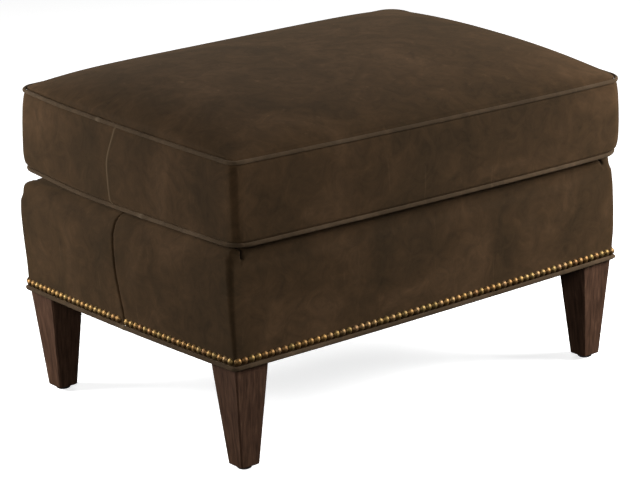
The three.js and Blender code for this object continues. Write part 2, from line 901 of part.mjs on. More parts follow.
function topFibreGeometry() {
  const edgeZ = cushionTopWeltZ - leatherThickness / 2 - clearance;
  return stackOf([fibreEdgeRow(boxingHighZ), ...crownRows(panelInset + clearance, edgeZ)]);
}

function bottomPanelGeometry() {
  const half = leatherThickness / 2;
  const outside = underRows(panelInset, cushionBottomWeltZ - half, cushionUnderZ);
  const inside = underRows(panelInset, cushionBottomWeltZ + half, cushionUnderZ + leatherThickness);
  return stackOf([...outside.reverse(), ...inside]);
}

function bottomFibreGeometry() {
  const skin = leatherThickness / 2 + clearance;
  const lowZ = cushionUnderZ + leatherThickness + clearance;
  const outside = underRows(panelInset + clearance, cushionBottomWeltZ + skin, lowZ);
  return stackOf([...outside.reverse(), fibreEdgeRow(boxingLowZ)]);
}

// Zip: tape with its teeth in the slot, a slider on the teeth and a pull hanging from the slider
const teethFaceY = boxingFaceY + zipTeethDepth;
const sliderFaceY = teethFaceY + clearance + sliderDepth;
const pullPivotY = sliderFaceY + clearance + pullEyeRadius;
const sliderX = zipSlotLength / 2 - zipEndStop - sliderLength / 2;

function zipTapeGeometry() {
  const tapeHalf = zipSlotHeight / 2 - clearance;
  const teethHalf = zipTeethHeight / 2;
  const backY = boxingFaceY - leatherThickness;
  const section = [
    [backY, zipZ - tapeHalf],
    [boxingFaceY, zipZ - tapeHalf],
    [boxingFaceY, zipZ - teethHalf],
    [teethFaceY, zipZ - teethHalf],
    [teethFaceY, zipZ + teethHalf],
    [boxingFaceY, zipZ + teethHalf],
    [boxingFaceY, zipZ + tapeHalf],
    [backY, zipZ + tapeHalf],
  ];
  return extrudedAlongX(section, zipSlotLength - 2 * clearance);
}

function sliderGeometry() {
  const halfHeight = sliderHeight / 2;
  const earGap = pullEyeWidth / 2 + clearance;
  const earHalf = sliderEarHeight / 2;
  const earFaceY = pullPivotY + pullPinRadius * 2;
  let slider = solidOf(boxBetween(
    [-sliderLength / 2, teethFaceY + clearance, zipZ - halfHeight],
    [sliderLength / 2, sliderFaceY, zipZ + halfHeight],
  ));
  for (const side of [-1, 1]) {
    const [near, far] = [side * earGap, side * (earGap + sliderEarThickness)].sort((a, b) => a - b);
    const rootY = sliderFaceY - sliderDepth / 2;
    const ear = boxBetween([near, rootY, zipZ - earHalf], [far, earFaceY, zipZ + earHalf]);
    slider = slider.add(solidOf(ear));
  }
  const pinLength = 2 * earGap + sliderEarThickness;
  const pin = lyingCylinder(pullPinRadius, pinLength, weltSides).translate(0, pullPivotY, zipZ);
  return geometryOf(slider.add(solidOf(pin))).translate(sliderX, 0, 0);
}

function pullGeometry() {
  const eye = lyingCylinder(pullEyeRadius, pullEyeWidth, roundSides);
  const bore = lyingCylinder(pullPinRadius + clearance, pullEyeWidth + cutOverrun, roundSides);
  const halfThickness = pullThickness / 2;
  const tab = boxBetween(
    [-pullWidth / 2, -halfThickness, -pullLength],
    [pullWidth / 2, halfThickness, -sliderEarHeight],
  );
  const neck = boxBetween(
    [-pullEyeWidth / 2, -halfThickness, -sliderEarHeight - halfThickness],
    [pullEyeWidth / 2, halfThickness, -pullEyeRadius / 2],
  );
  const pull = solidOf(eye).add(solidOf(neck)).add(solidOf(tab)).subtract(solidOf(bore));
  return geometryOf(pull).translate(sliderX, pullPivotY, zipZ);
}

function addCushion() {
  addPiece("foam_core", foamCoreGeometry(), foam);
  addPiece("top_fibre_layer", topFibreGeometry(), fibre);
  addPiece("bottom_fibre_layer", bottomFibreGeometry(), fibre);
  addPiece("cushion_top_panel", topPanelGeometry(), leather);
  addPiece("cushion_bottom_panel", bottomPanelGeometry(), leather);
  addPiece("cushion_front_boxing", boxingGeometry("front"), leather);
  addPiece("cushion_back_boxing", backBoxingGeometry(), leather);
  const radius = cushionWeltRadius;
  for (const [name, z] of [["top", cushionTopWeltZ], ["bottom", cushionBottomWeltZ]]) {
    addPiece(`cushion_${name}_welt`, weltGeometry(cushionShape, 0, cushionCorner, z, radius), leatherWelt);
  }
  addPiece("zip_tape", zipTapeGeometry(), blackNylon);
  addPiece("zip_slider", sliderGeometry(), antiqueBrass);
  addPiece("zip_pull", pullGeometry(), antiqueBrass);
}

addLegs();
addFrame();
addSprings();
addBaseUpholstery();
addCushion();

export default footstool;
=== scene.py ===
import json
import math
import random

import bmesh
import bpy
import numpy as np
from mathutils import Matrix, Vector, noise

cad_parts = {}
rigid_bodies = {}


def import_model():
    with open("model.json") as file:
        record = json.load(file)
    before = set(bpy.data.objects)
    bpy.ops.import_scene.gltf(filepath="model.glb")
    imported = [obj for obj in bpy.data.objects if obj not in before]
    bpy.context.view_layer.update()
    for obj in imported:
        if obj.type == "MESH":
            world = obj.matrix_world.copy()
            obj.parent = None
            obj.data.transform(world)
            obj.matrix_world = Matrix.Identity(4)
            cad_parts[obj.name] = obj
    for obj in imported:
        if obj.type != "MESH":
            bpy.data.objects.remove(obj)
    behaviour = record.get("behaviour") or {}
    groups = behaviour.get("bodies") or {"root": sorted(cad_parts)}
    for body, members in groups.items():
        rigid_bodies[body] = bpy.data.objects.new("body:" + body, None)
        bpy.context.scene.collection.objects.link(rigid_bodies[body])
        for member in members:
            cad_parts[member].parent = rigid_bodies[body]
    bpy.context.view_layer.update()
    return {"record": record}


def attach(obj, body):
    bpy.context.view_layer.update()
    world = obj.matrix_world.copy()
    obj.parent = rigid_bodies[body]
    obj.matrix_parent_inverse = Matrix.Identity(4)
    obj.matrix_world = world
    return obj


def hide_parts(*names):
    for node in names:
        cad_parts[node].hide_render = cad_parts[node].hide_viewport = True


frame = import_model()

# Lengths are in metres. A table of four corners goes front left, front right, back left, back right.

# Base
base_half = (0.3605, 0.256)
base_bow = {"side": 0.005, "front": 0.005, "back": 0.005}
cover_bottom_z = 0.161
base_settling = (-0.0025, 0.0)
wall_top_z = 0.306
deck_z = 0.325
edge_round = (0.021, 0.019)
front_edge_share = 0.28
side_edge_share = 1.2
corner_edge_share = 0.75
rim_dip = 0.0035
rim_dip_reach = 0.010
rim_dip_end = (0.040, 0.062)
rim_lines = [0.0012, 0.0028, 0.0048, 0.007]
front_edge_from_corner = (0.012, 0.05)
front_edge_from_y = (0.05, 0.2)
side_edge_from_corner = (0.03, 0.12)
side_edge_from_x = (0.2, 0.3)
rim_lean = (0.0, -0.001, 0.0, 0.0)
rim_lean_from_z = 0.25
front_rim_sag = (0.004, 0.012)
sag_from_corner = (0.008, 0.06)
sag_from_y = (0.2, 0.245)
lip_inner_inset = 0.074
base_corner_low = 0.005
base_corner_wall_top = 0.012
base_corner_high = 0.018
wall_swell = 0.0035
wall_heights_share = [0, 0.1, 0.3, 0.55, 0.8, 0.94, 1]
wall_swell_share = [0, 0, 0.3, 0.7, 1, 0.8, 0]
base_seam_y = -0.002
base_seam_sweep = 0.0095
base_seam_sweep_z = (0.169, 0.255)
base_welt_z = 0.1595
base_welt_radius = 0.0032
base_welt_out = 0.0016
leather_thickness = 0.0012
flat_below_z = (0.17, 0.21)
wide_unevenness = (0.11, 0.0022)
fine_unevenness = (0.045, 0.0008)
settling_heights_share = (0.05, 0.9)
seam_depth = 0.0032
seam_reach = 0.0016
fold_from_corner = 0.022
fold_low_z = 0.309
fold_depth = 0.004
fold_reach = 0.002
crease_height = 0.0014
crease_reach = 0.004
crease_from_corner = 0.020
crease_drop = 0.9
# Near-black painted shade laid into the corner pleats of the base's leather
pleat_shade_colour = (0.004, 0.003, 0.002)

# Nail heads
nail_z = 0.1688
nail_pitch = 0.0113
nail_radius = 0.0056
nail_height = 0.0042
nail_stand_off = 0.0003
nail_seam_gap = 0.0055
nail_lean_share = 0.06
nail_segments = 12
nail_rings = 8
corner_turns = 8
line_step = 0.002

# Cushion
cushion_half = (0.367, 0.264)
cushion_bow = {"side": 0.005, "front": 0.005, "back": 0.002}
cushion_corners = (0.014, 0.028, 0.024, 0.028)
top_corner_pulls = (0.0, 0.002, 0.005, 0.002)
bottom_corner_pulls = (0.0, 0.002, 0.0005, 0.002)
cushion_widest_corner = 0.028
corner_pull_reach = 0.09
bottom_corner_lifts = (0.0, 0.0, 0.009, 0.004)
corner_lift_reach = 0.12
corner_tuck = 0.014
corner_tuck_height_share = 0.14
cushion_low_z = 0.335
cushion_high_z = 0.447
cushion_crown = 0.042
crown_power_along = 6.0
crown_power_across = 2.2
crown_fullness = 0.63
crown_to_front_left = 0.09
crown_edge_lift = 0.0008
crown_edge_reach = 0.003
boxing_swell = 0.003
boxing_unevenness = (0.10, 0.002)
boxing_heights_share = [0, 0.2, 0.42, 0.58, 0.8, 1]
boxing_swell_share = [0, 0.75, 1, 1, 0.75, 0]
cushion_seam_y = 0.020
cushion_seam_sweep = -0.0223
cushion_seam_height = 0.0007
seam_sweep_reach = 0.06
seam_sweep_heights_share = (0.5, 1.15)
cushion_welt_radius = 0.0029
cushion_welt_joint_y = {"top": 0.032, "bottom": -0.06}
welt_joint_swell = 0.16
welt_joint_reach = 0.004
welt_nest = 0.0029
groove_edges = (0.0026, 0.0062)
cushion_rest_z = 0.3256
underside_edge_share = (0.03, 0.16)
filling_low_z = 0.348
filling_high_z = 0.440

# Zip in the back of the cushion
zip_z = 0.390
zip_face_y = 0.267
zip_slot = (0.560, 0.012)
zip_slot_depth = 0.0014
zip_clearance = 0.0003
zip_flat_height = (0.010, 0.035)
zip_flat_beyond = 0.03
tape_step = 0.020
tape_stitch_z = 0.0046
tape_stitch_half = 0.0003
tape_stitch_depth = 0.0003
tape_rib_half = 0.003
tape_rib_lines = (0.0026, 0.0032)
tape_rib_height = 0.0004
tooth_size = (0.0016, 0.0012, 0.0026)
tooth_pitch = 0.0026
tooth_row_z = 0.0009
slider_x = 0.263
slider_low_y = 0.2685
slider_size = (0.010, 0.0025, 0.009)
slider_waist_share = 0.62
slider_waist_place_share = 0.9
slider_waist_power = 1.6
slider_ear = (0.0012, 0.0040, 0.0034)
slider_ear_x = 0.0024
pull_pivot_y = 0.2733
pull_pin_radius = 0.0008
pull_eye_radius = 0.0016
pull_wire = 0.0006
pull_length = 0.024
pull_width = 0.006
pull_thickness = 0.0014
pull_rim = 0.0014
pull_taper_share = 0.4
pull_neck_length = 0.0045
pull_neck_half = 0.001
pull_neck_lap = 0.0004
metal_edge = 0.0003

# Cloths and staples of the base
deck_cloth_set_in = 0.070
deck_cloth_drop = 0.0016
deck_cloth_sag = 0.0012
deck_cloth_corner = 0.003
spring_cloth_half = (0.3437, 0.2392)
spring_cloth_z = 0.3004
spring_cloth_corner = 0.004
dust_cloth_half = (0.3437, 0.2392)
dust_cloth_z = 0.162
dust_cloth_sag = 0.004
dust_cloth_corner = 0.008
cloth_thickness = 0.0009
cloth_step = 0.012
cloth_unevenness_size = 0.09
staple_size = (0.010, 0.0007, 0.0007)
staple_pitch = 0.034
staple_set_in = 0.008
staple_reach = (0.285, 0.18)

# How the loose cushion sits: its lean at each corner, at its top and bottom welts
top_lean = (0.0034, -0.0112, 0.0178, 0.019)
bottom_lean = (0.0, -0.010, 0.004, 0.0)
cushion_shift = (0.0065, -0.006)

# Distances that count as none
least = 1e-9
touching = 1e-6
merging = 1e-5

# Grids that the soft pieces are cut to, and the gaps between the layers
base_step = 0.008
cushion_step = 0.008
wall_step = 0.006
fold_step = 0.003
wall_low_z = 0.280
stuffing_step = 0.016
stuffing_gap = 0.0042
filling_gap = 0.005
stuffing_smoothing = 3
stuffing_smoothing_share = 0.5
wadding_thickness = 0.003
deck_pad_z = 0.3015
welt_step = 0.004
grid_from_edge = 0.008
slot_edge_offsets = [-0.0004, 0.0004]
seam_offsets = [-0.006, -0.003, -0.0013, 0.0, 0.0013, 0.003, 0.006]
fold_offsets = [-0.008, -0.005, -0.0028, -0.0013, 0.0, 0.0013, 0.0028, 0.005, 0.009]
welt_offsets = [0.0014, 0.0028, 0.004, 0.0055, 0.0075]

# Camera, fitted to the welts, the nail rows and the feet
camera_place = (-2.3873, -2.9977, 1.3771)
camera_yaw = math.radians(38.507)
camera_pitch = math.radians(16.951)
camera_roll = math.radians(-2.037)
camera_lens_px = 2668.4
image_width_px = 640
sensor_mm = 36

# Floor, and each light's place, aim, size and watts
floor_size = 60
# The floor's glow goes from dim near the stool, a painted shade round it, to full further off
floor_paling_from = 0.4
floor_paling_to = 2.5
lights = {
    "near_light": ((-1.7, -1.4, 1.0), (0, 0, 0.3), 0.9, 17),
    "back_light": ((1.2, 1.6, 1.5), (0, 0, 0.3), 0.9, 13),
    "left_light": ((-1.05, 0.85, 0.62), (-0.2, 0.2, 0.3), 0.6, 28),
    "right_light": ((1.15, -0.95, 0.85), (0.2, -0.1, 0.3), 0.7, 52),
}


def select_none():
    bpy.ops.object.select_all(action="DESELECT")


def only(*pieces):
    """Selects these pieces and nothing else."""
    select_none()
    for piece in pieces:
        piece.select_set(True)
    bpy.context.view_layer.objects.active = pieces[0]


def edit(piece):
    only(piece)
    bpy.ops.object.mode_set(mode="EDIT")
    bpy.ops.mesh.select_all(action="SELECT")


def done():
    bpy.ops.object.mode_set(mode="OBJECT")


def pick_faces(piece, test):
    """In edit mode, selects the faces that pass the test."""
    bpy.ops.mesh.select_mode(type="FACE")
    mesh = bmesh.from_edit_mesh(piece.data)
    for vert in mesh.verts:
        vert.select_set(False)
    for face in mesh.faces:
        face.select_set(bool(test(face)))
    mesh.select_flush_mode()
    bmesh.update_edit_mesh(piece.data)


def delete_faces(piece, test):
    edit(piece)
    pick_faces(piece, test)
    bpy.ops.mesh.delete(type="FACE")
    done()


def box_of(half, low_z, high_z):
    """The low and the high corner of a box that stands round the middle."""
    return (-half[0], -half[1], low_z), (half[0], half[1], high_z)


def block(name, low, high):
    """A cube at its size and place, with its object at the origin."""
    middle = [(a + b) / 2 for a, b in zip(low, high)]
    select_none()
    bpy.ops.mesh.primitive_cube_add(size=1, location=middle)
    piece = bpy.context.object
    piece.name = piece.data.name = name
    piece.scale = [b - a for a, b in zip(low, high)]
    settle(piece)
    return piece


def block_about(name, middle, size):
    low = [a - b / 2 for a, b in zip(middle, size)]
    return block(name, low, [a + b for a, b in zip(low, size)])


def plate(name, half, z):
    """A flat rectangle at a level, with its object at the origin."""
    select_none()
    bpy.ops.mesh.primitive_plane_add(size=1, location=(0, 0, z))
    piece = bpy.context.object
    piece.name = piece.data.name = name
    piece.scale = (2 * half[0], 2 * half[1], 1)
    settle(piece)
    return piece


def joined(*pieces):
    """Makes the pieces one, under the first one's name."""
    only(*pieces)
    bpy.ops.object.join()
    return bpy.context.object


def settle(piece):
    """Puts a piece's place into its mesh."""
    only(piece)
    bpy.ops.object.transform_apply(location=True, rotation=True, scale=True)


def evenly(low, high, step):
    count = max(1, round((high - low) / step))
    return [low + (high - low) * index / count for index in range(1, count)]


def cut(piece, axis, places):
    """Cuts a piece across at each place along an axis."""
    normal = [0.0, 0.0, 0.0]
    normal[axis] = 1.0
    edit(piece)
    for place in places:
        point = [0.0, 0.0, 0.0]
        point[axis] = place
        bpy.ops.mesh.select_all(action="SELECT")
        bpy.ops.mesh.bisect(plane_co=point, plane_no=normal)
    done()


def points_of(piece):
    values = np.empty(len(piece.data.vertices) * 3)
    piece.data.vertices.foreach_get("co", values)
    return values.reshape(-1, 3)


def reshape(piece, points):
    piece.data.vertices.foreach_set("co", points.reshape(-1))
    piece.data.update()


def mark(piece, name, values):
    """Keeps a value at each vert for a material to read."""
    attribute = piece.data.attributes.new(name, "FLOAT", "POINT")
    attribute.data.foreach_set("value", values)


def add_modifier(piece, kind, **values):
    only(piece)
    modifier = piece.modifiers.new(kind.lower(), kind)
    for name, value in values.items():
        setattr(modifier, name, value)
    bpy.ops.object.modifier_apply(modifier=modifier.name)


def smooth(piece, degrees=None):
    only(piece)
    if degrees is None:
        bpy.ops.object.shade_smooth()
    else:
        bpy.ops.object.shade_smooth_by_angle(angle=math.radians(degrees))


def split_off(piece, name, test):
    """Separates the faces that pass the test into a piece of their own."""
    edit(piece)
    pick_faces(piece, test)
    bpy.ops.mesh.separate(type="SELECTED")
    done()
    part = next(other for other in bpy.context.selected_objects if other != piece)
    part.name = part.data.name = name
    return part


def finish(piece, material):
    piece.data.materials.clear()
    piece.data.materials.append(material)


def place(piece, body, slot, *nodes):
    """Hangs a piece on its body, in the finish of its slot and in the place of its CAD nodes."""
    finish(piece, finish_of_slot[slot])
    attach(piece, body)
    if nodes:
        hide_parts(*nodes)


def ease(value, start, end):
    """A smooth step from 0 at start to 1 at end."""
    share = np.clip((value - start) / (end - start), 0, 1)
    return share * share * (3 - 2 * share)


def bump(distance, reach):
    return np.exp(-((distance / reach) ** 2))


def round_plan(points, half, radius):
    """Rounds the four corners of a box's plan."""
    x, y = np.abs(points[:, 0]), np.abs(points[:, 1])
    across = (x - half[0] + radius) / radius
    along = (y - half[1] + radius) / radius
    corner = (across > 0) & (along > 0)
    across, along = np.clip(across, 0, 1), np.clip(along, 0, 1)
    round_x = half[0] - radius + radius * across * np.sqrt(1 - along ** 2 / 2)
    round_y = half[1] - radius + radius * along * np.sqrt(1 - across ** 2 / 2)
    points[:, 0] = np.where(corner, np.sign(points[:, 0]) * round_x, points[:, 0])
    points[:, 1] = np.where(corner, np.sign(points[:, 1]) * round_y, points[:, 1])


def scale_plan(points, half, outwards):
    points[:, 0] *= 1 + outwards / half[0]
    points[:, 1] *= 1 + outwards / half[1]


def bow_plan(points, half, bow):
    across, along = points[:, 0] / half[0], points[:, 1] / half[1]
    long_bow = np.where(points[:, 1] < 0, bow["front"], bow["back"])
    points[:, 0] += bow["side"] * across * (1 - along ** 2)
    points[:, 1] += long_bow * along * (1 - across ** 2)


def uneven(points, size, height, seed):
    """A slow unevenness of stuffed leather at each point."""
    offset = Vector((seed, seed * 2, seed * 3))
    return height * np.array([noise.noise(Vector(point) / size + offset) for point in points])


def ring_inset(points, half):
    return np.minimum(half[0] - np.abs(points[:, 0]), half[1] - np.abs(points[:, 1]))


def outwards_of(points, half, radius):
    """The level direction away from the middle of a rounded plan."""
    core = np.array([half[0] - radius, half[1] - radius])
    offset = points[:, :2] - np.clip(points[:, :2], -core, core)
    length = np.linalg.norm(offset, axis=1)
    offset[length > 0] /= length[length > 0, None]
    return offset


def edge_rounding(points):
    """The width and height of the soft top edge: tight along the front, wide at the sides."""
    from_corner = base_half[0] - np.abs(points[:, 0])
    front = ease(from_corner, *front_edge_from_corner) * ease(-points[:, 1], *front_edge_from_y)
    side = ease(base_half[1] - np.abs(points[:, 1]), *side_edge_from_corner)
    side *= ease(np.abs(points[:, 0]), *side_edge_from_x)
    share = (corner_edge_share + (front_edge_share - corner_edge_share) * front
             + (side_edge_share - corner_edge_share) * side)
    return edge_round[0] * share, edge_round[1] * share


def shape_base(points):
    """From a square box to the stuffed base: its soft top edge, corners, swell and bows."""
    inset = ring_inset(points, base_half)
    round_width, round_height = edge_rounding(points)
    across = np.clip((round_width - inset) / round_width, 0, 1)
    up = np.clip((points[:, 2] - deck_z + round_height) / round_height, 0, 1)
    new_inset = np.where(up > 0, round_width * (1 - across * np.sqrt(1 - up ** 2 / 2)), inset)
    new_inset = np.where(inset > round_width, inset, new_inset)
    for axis in (0, 1):
        points[:, axis] *= (base_half[axis] - new_inset) / np.maximum(base_half[axis] - inset, least)
    round_z = deck_z - round_height + round_height * up * np.sqrt(1 - across ** 2 / 2)
    points[:, 2] = np.where(up > 0, round_z, points[:, 2])
    dip = ease(inset - round_width, 0, rim_dip_reach) * (1 - ease(inset, *rim_dip_end))
    points[:, 2] -= rim_dip * np.where(up < 1, 0, dip)
    height = (points[:, 2] - cover_bottom_z) / (wall_top_z - cover_bottom_z)
    radius = base_corner_low + (base_corner_wall_top - base_corner_low) * np.clip(height, 0, 1) ** 2
    rise = np.clip((points[:, 2] - wall_top_z) / edge_round[1], 0, 1)
    radius += (base_corner_high - base_corner_wall_top) * rise
    round_plan(points, base_half, radius)
    scale_plan(points, base_half, wall_swell * np.interp(height, wall_heights_share, wall_swell_share))
    bow_plan(points, base_half, base_bow)
    for axis in (0, 1):
        points[:, axis] += base_settling[axis] * ease(height, *settling_heights_share)
    level = level_share(points, base_half)
    sag = np.interp(points[:, 0], (-base_half[0], base_half[0]), front_rim_sag)
    sag *= ease(base_half[0] - np.abs(points[:, 0]), *sag_from_corner)
    sag *= ease(-points[:, 1], *sag_from_y)
    sinking = lean_of(points, rim_lean) * np.clip(level, 0, 1) ** 3 - sag
    points[:, 2] += sinking * ease(points[:, 2], rim_lean_from_z, deck_z)


def base_unevenness(points):
    """How far the leather wanders: not at all along the nails, which hold it to the rails."""
    above_nails = ease(points[:, 2], *flat_below_z)
    unevenness = uneven(points, *wide_unevenness, 3) + uneven(points, *fine_unevenness, 7)
    return above_nails * unevenness


def corner_folds(square):
    """A pleat down from the rim beside each corner, and the crease that rises from its foot. Also gives
    how deep each point lies in its pleat, which the leather is darkened by as painted shade.
    """
    from_corner = base_half[0] - np.abs(square[:, 0])
    on_long_wall = base_half[1] - np.abs(square[:, 1]) < edge_round[0]
    above = ease(square[:, 2], fold_low_z, fold_low_z + crease_reach)
    pleat = -fold_depth * bump(from_corner - fold_from_corner, fold_reach) * above * on_long_wall
    crease_z = fold_low_z - crease_drop * (fold_from_corner - from_corner)
    trail = ease(from_corner, crease_from_corner, fold_from_corner)
    crease = crease_height * bump(square[:, 2] - crease_z, crease_reach) * trail * on_long_wall
    return pleat + crease, -pleat / fold_depth


def make_base_covers():
    """The leather of the base, in a front and a back run that meet in a seam on each side."""
    low, high = box_of(base_half, cover_bottom_z, deck_z)
    cover = block("front_leather", low, high)
    folds = [side * (high[0] - fold_from_corner + each) for side in (-1, 1) for each in fold_offsets]
    rims = [[side * (half - each) for side in (-1, 1) for each in rim_lines] for half in base_half]
    seam = [base_seam_y + each for each in seam_offsets]
    cut(cover, 0, evenly(low[0], high[0], base_step) + folds + rims[0])
    cut(cover, 1, evenly(low[1], high[1], base_step) + seam + rims[1])
    cut(cover, 2, evenly(low[2], wall_low_z, wall_step))
    cut(cover, 2, evenly(wall_low_z - fold_step, high[2], fold_step))
    hole = [each - lip_inner_inset for each in base_half]
    delete_faces(cover, lambda face: face.normal.z < -0.5)
    delete_faces(cover, lambda face: face.normal.z > 0.5 and all(
        abs(face.calc_center_median()[axis]) < hole[axis] for axis in (0, 1)))
    points = points_of(cover)
    square = points.copy()
    seam_distance = points[:, 1] - base_seam_y
    shape_base(points)
    out = outwards_of(points, base_half, base_corner_wall_top)
    folds, shade = corner_folds(square)
    depth = base_unevenness(points) - seam_depth * bump(seam_distance, seam_reach) + folds
    points[:, :2] += out * depth[:, None]
    sweep = base_seam_sweep * ease(points[:, 2], *base_seam_sweep_z)
    points[:, 1] += sweep * bump(seam_distance, seam_sweep_reach)
    # Keeps the pleats' depth for the painted shade that the leather lays into them
    mark(cover, "shade", shade)
    reshape(cover, points)
    back = split_off(cover, "back_leather", lambda face: sum(
        seam_distance[vert.index] for vert in face.verts) > 0)
    for piece, node in ((cover, "front_cover"), (back, "back_cover")):
        add_modifier(piece, "SOLIDIFY", thickness=leather_thickness, offset=-1)
        add_modifier(piece, "SUBSURF", levels=1, render_levels=1)
        smooth(piece)
        place(piece, "base", "brown_leather", node)


def make_base_stuffing():
    """The padding round the rails and the pad on the springs, just under the leather."""
    low, high = box_of(base_half, cover_bottom_z, deck_z)
    form = block("deck_foam", low, high)
    for axis in range(3):
        cut(form, axis, evenly(low[axis], high[axis], stuffing_step if axis < 2 else wall_step))
    points = points_of(form)
    shape_base(points)
    out = outwards_of(points, base_half, base_corner_wall_top)
    points[:, :2] += out * base_unevenness(points)[:, None]
    reshape(form, points)
    edit(form)
    bpy.ops.mesh.normals_make_consistent(inside=False)
    bpy.ops.transform.shrink_fatten(value=-stuffing_gap)
    bpy.ops.mesh.vertices_smooth(factor=stuffing_smoothing_share, repeat=stuffing_smoothing)
    done()
    wall = twin(form, "wall_padding")
    slice_off(form, deck_pad_z, keep_above=True)
    smooth(form)
    place(form, "base", "foam", "deck_pad")
    delete_faces(wall, lambda face: abs(face.normal.z) > 0.9
                 or face.calc_center_median().z > deck_pad_z - wall_step)
    sides = {"front": lambda x, y: y < -x and y < x, "back": lambda x, y: y > -x and y > x,
             "left": lambda x, y: x < y and x < -y}
    longer = base_half[0] - base_half[1]
    parts = {"right": wall}
    for side, test in sides.items():
        def on_side(face):
            middle = face.calc_center_median()
            return test(middle.x - math.copysign(longer, middle.x), middle.y)
        parts[side] = split_off(wall, f"{side}_wadding", on_side)
    wall.name = wall.data.name = "right_wadding"
    for side, part in parts.items():
        add_modifier(part, "SOLIDIFY", thickness=wadding_thickness, offset=-1)
        smooth(part)
        place(part, "base", "fibre_padding", f"{side}_padding")


def twin(piece, name):
    """A copy of a piece with a mesh of its own."""
    copy = piece.copy()
    copy.data = piece.data.copy()
    copy.name = copy.data.name = name
    bpy.context.collection.objects.link(copy)
    return copy


def slice_off(piece, z, keep_above):
    """Cuts a closed piece at a level and closes it there."""
    edit(piece)
    bpy.ops.mesh.bisect(plane_co=(0, 0, z), plane_no=(0, 0, 1), use_fill=True,
                        clear_inner=keep_above, clear_outer=not keep_above)
    done()


def loop_piece(name, half, z):
    """A loop of edges round a box's plan, ready to be shaped."""
    piece = plate(name, half, z)
    edit(piece)
    bpy.ops.mesh.delete(type="ONLY_FACE")
    bpy.ops.mesh.select_all(action="SELECT")
    bpy.ops.mesh.subdivide(number_cuts=round(2 * half[0] / welt_step))
    done()
    return piece


def pipe(piece, radius, joint_y):
    """Turns a loop of edges into a piped cord, whose lapped ends make a joint on the left side."""
    only(piece)
    bpy.ops.object.convert(target="CURVE")
    piece = bpy.context.object
    for point in piece.data.splines[0].points:
        if point.co.x < 0:
            point.radius = 1 + welt_joint_swell * bump(point.co.y - joint_y, welt_joint_reach)
    piece.data.bevel_depth = radius
    piece.data.bevel_resolution = 3
    bpy.ops.object.convert(target="MESH")
    piece = bpy.context.object
    edit(piece)
    bpy.ops.mesh.remove_doubles(threshold=merging)
    bpy.ops.mesh.normals_make_consistent(inside=False)
    done()
    points = points_of(piece)
    mark(piece, "rub", bump(points[:, 1] - joint_y, welt_joint_reach) * (points[:, 0] < 0))
    smooth(piece)
    return piece


def make_base_welt():
    """The welt round the lower edge of the base."""
    welt = loop_piece("base_piping", base_half, base_welt_z)
    points = points_of(welt)
    round_plan(points, base_half, np.full(len(points), base_corner_low))
    scale_plan(points, base_half, base_welt_out)
    bow_plan(points, base_half, base_bow)
    reshape(welt, points)
    welt = pipe(welt, base_welt_radius, base_seam_y)
    place(welt, "base", "leather_welt", "base_welt")


def nail_line(front):
    """The line that the nail heads follow, from one side seam round to the other."""
    half = [each + nail_stand_off for each in base_half]
    seam_y = base_seam_y if front else -base_seam_y
    corner_x, corner_y = (each - base_corner_low for each in half)
    turns = [math.pi * (1 + index / corner_turns / 2) for index in range(corner_turns + 1)]
    left = [(math.cos(turn) * base_corner_low - corner_x, math.sin(turn) * base_corner_low - corner_y)
            for turn in turns]
    right = [(-x, y) for x, y in reversed(left)]
    corners = [(-half[0], seam_y), *left, *right, (half[0], seam_y)]
    line = []
    for (from_x, from_y), (to_x, to_y) in zip(corners, corners[1:]):
        steps = max(1, round(math.hypot(to_x - from_x, to_y - from_y) / line_step))
        for index in range(steps):
            share = index / steps
            line.append((from_x + (to_x - from_x) * share, from_y + (to_y - from_y) * share, nail_z))
    points = np.array([*line, (*corners[-1], nail_z)])
    if not front:
        points[:, :2] *= -1
    bow_plan(points, base_half, base_bow)
    return points


def make_nail():
    """One domed nail head, its round side up."""
    select_none()
    bpy.ops.mesh.primitive_uv_sphere_add(segments=nail_segments, ring_count=nail_rings, radius=1)
    nail = bpy.context.object
    nail.scale = (nail_radius, nail_radius, nail_height)
    settle(nail)
    delete_faces(nail, lambda face: face.calc_center_median().z < 0)
    return nail


def make_nails(front):
    """A run of nail heads that nearly touch, each a little askew and of its own tint."""
    name = "front_nails" if front else "back_nails"
    line = nail_line(front)
    lengths = np.concatenate([[0], np.cumsum(np.linalg.norm(np.diff(line, axis=0), axis=1))])
    usable = lengths[-1] - nail_seam_gap - 2 * nail_radius
    count = math.floor(usable / nail_pitch)
    start = nail_seam_gap / 2 + nail_radius + (usable - count * nail_pitch) / 2
    shuffle = random.Random(11 if front else 12)
    nail = make_nail()
    heads = []
    for index in range(count + 1):
        travelled = start + index * nail_pitch
        behind, at, ahead = (Vector([np.interp(reached, lengths, line[:, axis]) for axis in range(3)])
                             for reached in (travelled - line_step, travelled, travelled + line_step))
        along = ahead - behind
        outward = Vector((along.y, -along.x, 0)).normalized()
        lean = Vector([shuffle.uniform(-nail_lean_share, nail_lean_share) for _ in range(3)])
        turn = (outward + lean).to_track_quat("Z", "Y").to_matrix().to_4x4()
        head = nail.copy()
        head.data = nail.data.copy()
        head.data.transform(Matrix.Translation(at) @ turn)
        tint = head.data.attributes.new("tint", "FLOAT", "POINT")
        tint.data.foreach_set("value", [shuffle.random()] * len(head.data.vertices))
        bpy.context.collection.objects.link(head)
        heads.append(head)
    nails = joined(*heads)
    nails.name = nails.data.name = name
    bpy.data.objects.remove(nail)
    smooth(nails)
    place(nails, "base", "antique_brass", "front_nail_trim" if front else "back_nail_trim")


def height_share(points):
    """0 at the cushion's bottom welt and 1 at its top one."""
    return (points[:, 2] - cushion_low_z) / (cushion_high_z - cushion_low_z)


def level_share(points, half):
    """0 in the middle of a box's plan and 1 at its edges."""
    return np.max(np.abs(points[:, :2]) / half, axis=1)


